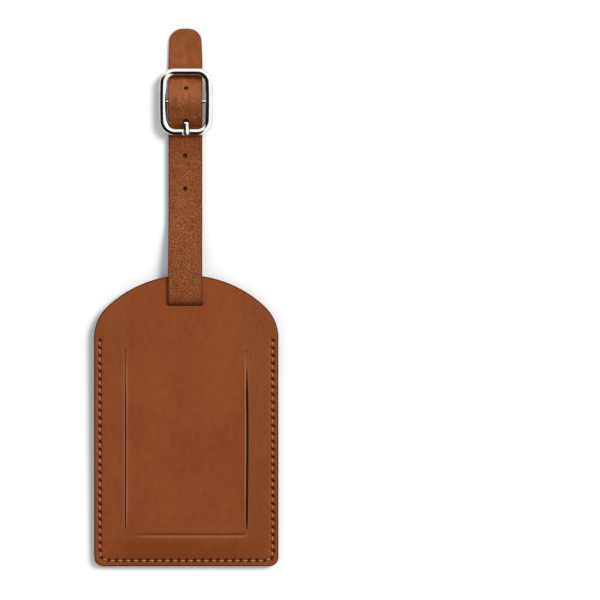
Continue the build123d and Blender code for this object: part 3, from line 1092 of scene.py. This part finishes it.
strap_round = 0.22
strap_rows = rounded_edge(strap_round, 1, (0, 2, 4, 6)) + [(0.0, -1, 0.1), (strap_round, -1, 0.0)]
strap_pitch = 0.55
edge_step = 0.5
edge_marks = [8 + i * edge_step for i in range(int((strap_l - 10) / edge_step))]
strap_spots = []
for inset in (0.5, 0.85, 1.25):
    for side in (-1, 1):
        strap_spots += [Vector((side * (half_strap - inset), u)) for u in edge_marks]
for loop in strap_holes:
    for p, n in zip(loop, edge_normals(loop, hole=True)):
        strap_spots += [p - n * gap for gap in (0.4, 0.7)]

strap = cut_leather(
    "strap_leather_strip",
    [strap_outline] + strap_holes,
    strap_rows,
    strap_spots,
    strap_pitch,
    strap_face,
    strap_flesh,
    strap_place,
    {
        "tone_and_shading": strap_tone_and_shading,
        "paint": strap_paint,
        "lip_highlight": lambda x, u, side, edge: 0.0,
        "plain": strap_plain,
        "pit_shade": strap_pit_shade,
    },
)
strap.data.materials.append(
    leather(
        "strap_hide",
        dark=(0.165, 0.035, 0.004),
        light=(0.395, 0.125, 0.034),
        pebble=0.8,
        wander=0.6,
        depth=0.24,
        lean=52,
        gloss=0.34,
        settle=0.7,
        cloud=1.7,
    )
)
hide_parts("strap_slot_loop", "strap_front_strand", "strap_back_strand")
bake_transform(strap)

# -------------------- fold stitching
# Two short rows of finer thread, one each side of the prong's slot, that close the strap's fold.
# Each passes through both pared layers, so it shows on the underside and on top of the flap.
fold_thread_w = 0.32
fold_thread_lay = 1.0
flap_top = 1.22
flap_under = 0.34
stitch_arch = 0.14
stitch_steps = 10


def fold_stitches(side):
    """One row's thread: across the flap from hole to hole, then back along the underside."""
    xs = [side * x for x in row_x]
    path = []
    for marks, z, arch in ((xs, flap_top, stitch_arch), (xs[::-1], flap_under, -stitch_arch)):
        for a, b in zip(marks, marks[1:]):
            for k in range(stitch_steps + 1):
                v = k / stitch_steps
                path.append(Vector((a + (b - a) * v, row_y, z + arch * sin(pi * v))))
    path.append(path[0] + Vector((0, 0, -0.3)))
    return even(path, 0.1, closed=False)


left_row = lay_thread("fold_row_left", fold_stitches(-1), fold_thread_w, fold_thread_lay)
right_row = lay_thread("fold_row_right", fold_stitches(1), fold_thread_w, fold_thread_lay)
for row in (left_row, right_row):
    row.data.materials.append(thread)
    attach(row, "strap")
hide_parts("fold_stitching")

# -------------------- buckle frame
# A die-cast rounded frame, bright nickel plate: barrel-sided rails, rounded corners, and a notch
# filed in the lower end bar where the prong rests.
rail_mid_x = 8.4
end_mid_y = 11.475
rail_w = 2.9
end_w = 2.65
corner_mid_r = 4.2
frame_t = 2.0
barrel = 0.35
notch_half = 1.05
notch_lip = 0.25
notch_z = 3.45

ring_corners = []
for quarter, (x_side, y_side) in enumerate(((1, 1), (-1, 1), (-1, -1), (1, -1))):
    x, y = x_side * (rail_mid_x - corner_mid_r), y_side * (end_mid_y - corner_mid_r)
    ring_corners += arc(x, y, corner_mid_r, 90 * quarter, 90 * quarter + 90, 0.15)
ring = even(ring_corners, 0.18)


def rounded(angle, half_x, half_z, fullness):
    """A point of a cross-section that is fuller than an ellipse."""
    c, s = cos(angle), sin(angle)
    x_side, z_side = (1 if c > 0 else -1), (1 if s > 0 else -1)
    return half_x * abs(c) ** fullness[0] * x_side, half_z * abs(s) ** fullness[1] * z_side


ring_out = edge_normals(ring)
around = 40
shape = []
for p, out in zip(ring, ring_out):
    on_rail = out.x**2
    width = end_w + (rail_w - end_w) * on_rail
    bulge = barrel * on_rail * (1 - (p.y / end_mid_y) ** 2)
    for k in range(around):
        across, rise = rounded(2 * pi * k / around, width / 2, frame_t / 2, (0.96, 0.96))
        spot = p + out * (bulge + across)
        z = bar_z + rise
        if p.y < 0 and abs(spot.x) < notch_half + notch_lip:
            wall = soft_step(notch_half - 0.05, notch_half + notch_lip, abs(spot.x))
            z = min(z, notch_z + (bar_z + frame_t / 2 - notch_z) * wall)
        shape.append(Vector((spot.x, bar_y + spot.y, z)) * mm)
ring_mesh = tube_mesh("buckle_ring", shape, around, closed=True)
buckle = finish_mesh("buckle_ring", ring_mesh)

# fine wear of bright metal: hairline scratches one way and cloudy polish marks
polish, takes, gives = group(
    "polish marks", {"Place": "vector", "Amount": "value"}, {"Roughness": "value", "Height": "value"}
)
place = takes.outputs["Place"]
one_way = {"Vector": place, "Rotation": (0, 0, 0.5), "Scale": (300.0, 4200.0, 900.0)}
hairlines = noisy(polish, node(polish, "Mapping", one_way).outputs[0], 1.0, 3.0)
streaks = arithmetic(polish, "MULTIPLY", hairlines, takes.outputs["Amount"])
smears = arithmetic(polish, "MULTIPLY", noisy(polish, place, 420.0, 2.0), 0.08)
feed(gives, {"Roughness": arithmetic(polish, "ADD", streaks, smears), "Height": hairlines})


def bright_plate(name, colour, marks, depth):
    """Polished nickel plate with light handling marks."""
    made, tree, shader = new_material(name)
    place = node(tree, "TexCoord", {}).outputs["Object"]
    worn = node(tree, "Group", {"Place": place, "Amount": marks}, node_tree=polish)
    dim = tuple(c * 0.9 for c in colour)
    looks = {
        "Base Color": mixed(tree, noisy(tree, place, 160.0, 3.0), colour, dim),
        "Metallic": 1.0,
        "Roughness": worn.outputs["Roughness"],
        "Normal": bumped(tree, worn.outputs["Height"], 0.25, depth),
    }
    feed(shader, looks)
    return made


nickel = bright_plate("bright_nickel", (0.90, 0.89, 0.87), 0.09, 0.004)
buckle.data.materials.append(nickel)
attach(buckle, "buckle")
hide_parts("buckle_frame")

# -------------------- centre bar
# A drawn steel pin, 1.3 mm thick, plated and pressed into both rails. The strap's fold and the
# prong's eye turn on it.
coat("centre_bar", bright_plate("drawn_pin", (0.86, 0.85, 0.83), 0.14, 0.006))

# -------------------- prong
# A flat steel strip with rounded edges, curled round the bar at one end. It comes up through the
# strap's hole, bends level and rests with its blunt tip in the frame's notch.
prong_w = 1.8
prong_t = 0.75
eye_r = 1.075
prong_low = 2.075
prong_high = 3.975
prong_tip_y = 61.25

knee_r = 0.8
prong_step = 0.12
eye_turns = [radians(184 - 274 * i / 40) for i in range(41)]
eye = [Vector((bar_y + eye_r * cos(a), bar_z + eye_r * sin(a))) for a in eye_turns]
shank = [(bar_y, prong_low, 0), (67.8, prong_low, knee_r)]
shank += [(65.9, prong_high, knee_r), (prong_tip_y, prong_high, 0)]
prong_line = even(eye + round_corners(shank)[1:], prong_step, closed=False)
around = 20
flare_l = 3.0
blunt_l = 0.75
shape = []
last = len(prong_line) - 1
for i, p in enumerate(prong_line):
    run = way_at(prong_line, i)
    out = Vector((run.y, -run.x))
    to_tip = (last - i) * prong_step
    flare = 1 + 0.14 * (1 - soft_step(0.6, flare_l, to_tip))
    short_of = 1 - min(1.0, (to_tip + 0.02) / blunt_l)
    close = min(1.0, max(0.0, 1 - short_of**2) ** 0.5)
    start = min(1.0, 0.5 + i * 0.25)
    half_wide = prong_w / 2 * flare * close * start
    half_thick = prong_t / 2 * (0.35 + 0.65 * close) * start
    for k in range(around):
        wide, thick = rounded(2 * pi * k / around, half_wide, half_thick, (0.7, 0.8))
        spot = p + out * thick
        shape.append(Vector((wide, spot.x, spot.y)) * mm)
prong_mesh = tube_mesh("prong_tongue", shape, around)
prong = finish_mesh("prong_tongue", prong_mesh)
prong.data.materials.append(nickel)
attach(prong, "prong")
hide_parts("prong")

# -------------------- studio
# A wide white table, a soft lamp to the upper right, a white tent, and a black screen to the lower
# left that shows only in the bright metal. The camera looks straight down from 0.9 m.
table = bpy.data.meshes.new("table_top")
reach = 3.0
corners = [(x * reach, y * reach, 0) for x, y in ((-1, -1), (1, -1), (1, 1), (-1, 1))]
table.from_pydata(corners, [], [(0, 1, 2, 3)])
table_top = bpy.data.objects.new("table_top", table)
bpy.context.scene.collection.objects.link(table_top)
table_paint, _, shader = new_material("table_paint")
feed(shader, {"Base Color": (0.9, 0.9, 0.905, 1), "Roughness": 0.9, "Specular IOR Level": 0.1})
table.materials.append(table_paint)

lamp_data = bpy.data.lights.new("soft_lamp", "SUN")
lamp_data.energy = 2.6
lamp_data.angle = radians(26)
lamp_data.color = (1.0, 0.985, 0.96)
soft_lamp = bpy.data.objects.new("soft_lamp", lamp_data)
lamp_way = Vector((0.62, 0.40, 0.68)).normalized()
soft_lamp.rotation_mode = "QUATERNION"
soft_lamp.rotation_quaternion = lamp_way.to_track_quat("Z", "Y")
bpy.context.scene.collection.objects.link(soft_lamp)

room = bpy.data.worlds.new("room")
room.use_nodes = True
air = room.node_tree
air.nodes.clear()
way = node(air, "TexCoord", {}).outputs["Generated"]
height = node(air, "SeparateXYZ", {0: way}).outputs["Z"]
walls = mixed(air, eased(air, height, 0.1, 0.3), (0.25, 0.25, 0.255), (1.12, 1.12, 1.11))
screen_way = Vector((-0.68, -0.50, 0.53)).normalized()
facing = node(air, "VectorMath", {0: way, 1: screen_way}, operation="DOT_PRODUCT").outputs["Value"]
screened = mixed(air, eased(air, facing, 0.50, 0.55), walls, (0.008, 0.008, 0.009))
ray = node(air, "LightPath", {})
seen = mixed(air, ray.outputs["Is Glossy Ray"], (0.62, 0.625, 0.64), screened)
shown = mixed(air, ray.outputs["Is Camera Ray"], seen, (1, 1, 1))
glow = node(air, "Background", {"Color": shown})
node(air, "OutputWorld", {"Surface": glow.outputs[0]})
bpy.context.scene.world = room
bpy.context.scene.view_settings.view_transform = "Standard"

camera_height = 0.9
view_width = 0.2286
camera_data = bpy.data.cameras.new("camera")
camera_data.sensor_width = 36.0
camera_data.lens = camera_data.sensor_width * camera_height / view_width
camera = bpy.data.objects.new("camera", camera_data)
camera.location = (0.0432, -0.00124, camera_height)
bpy.context.scene.collection.objects.link(camera)
bpy.context.scene.camera = camera

import json
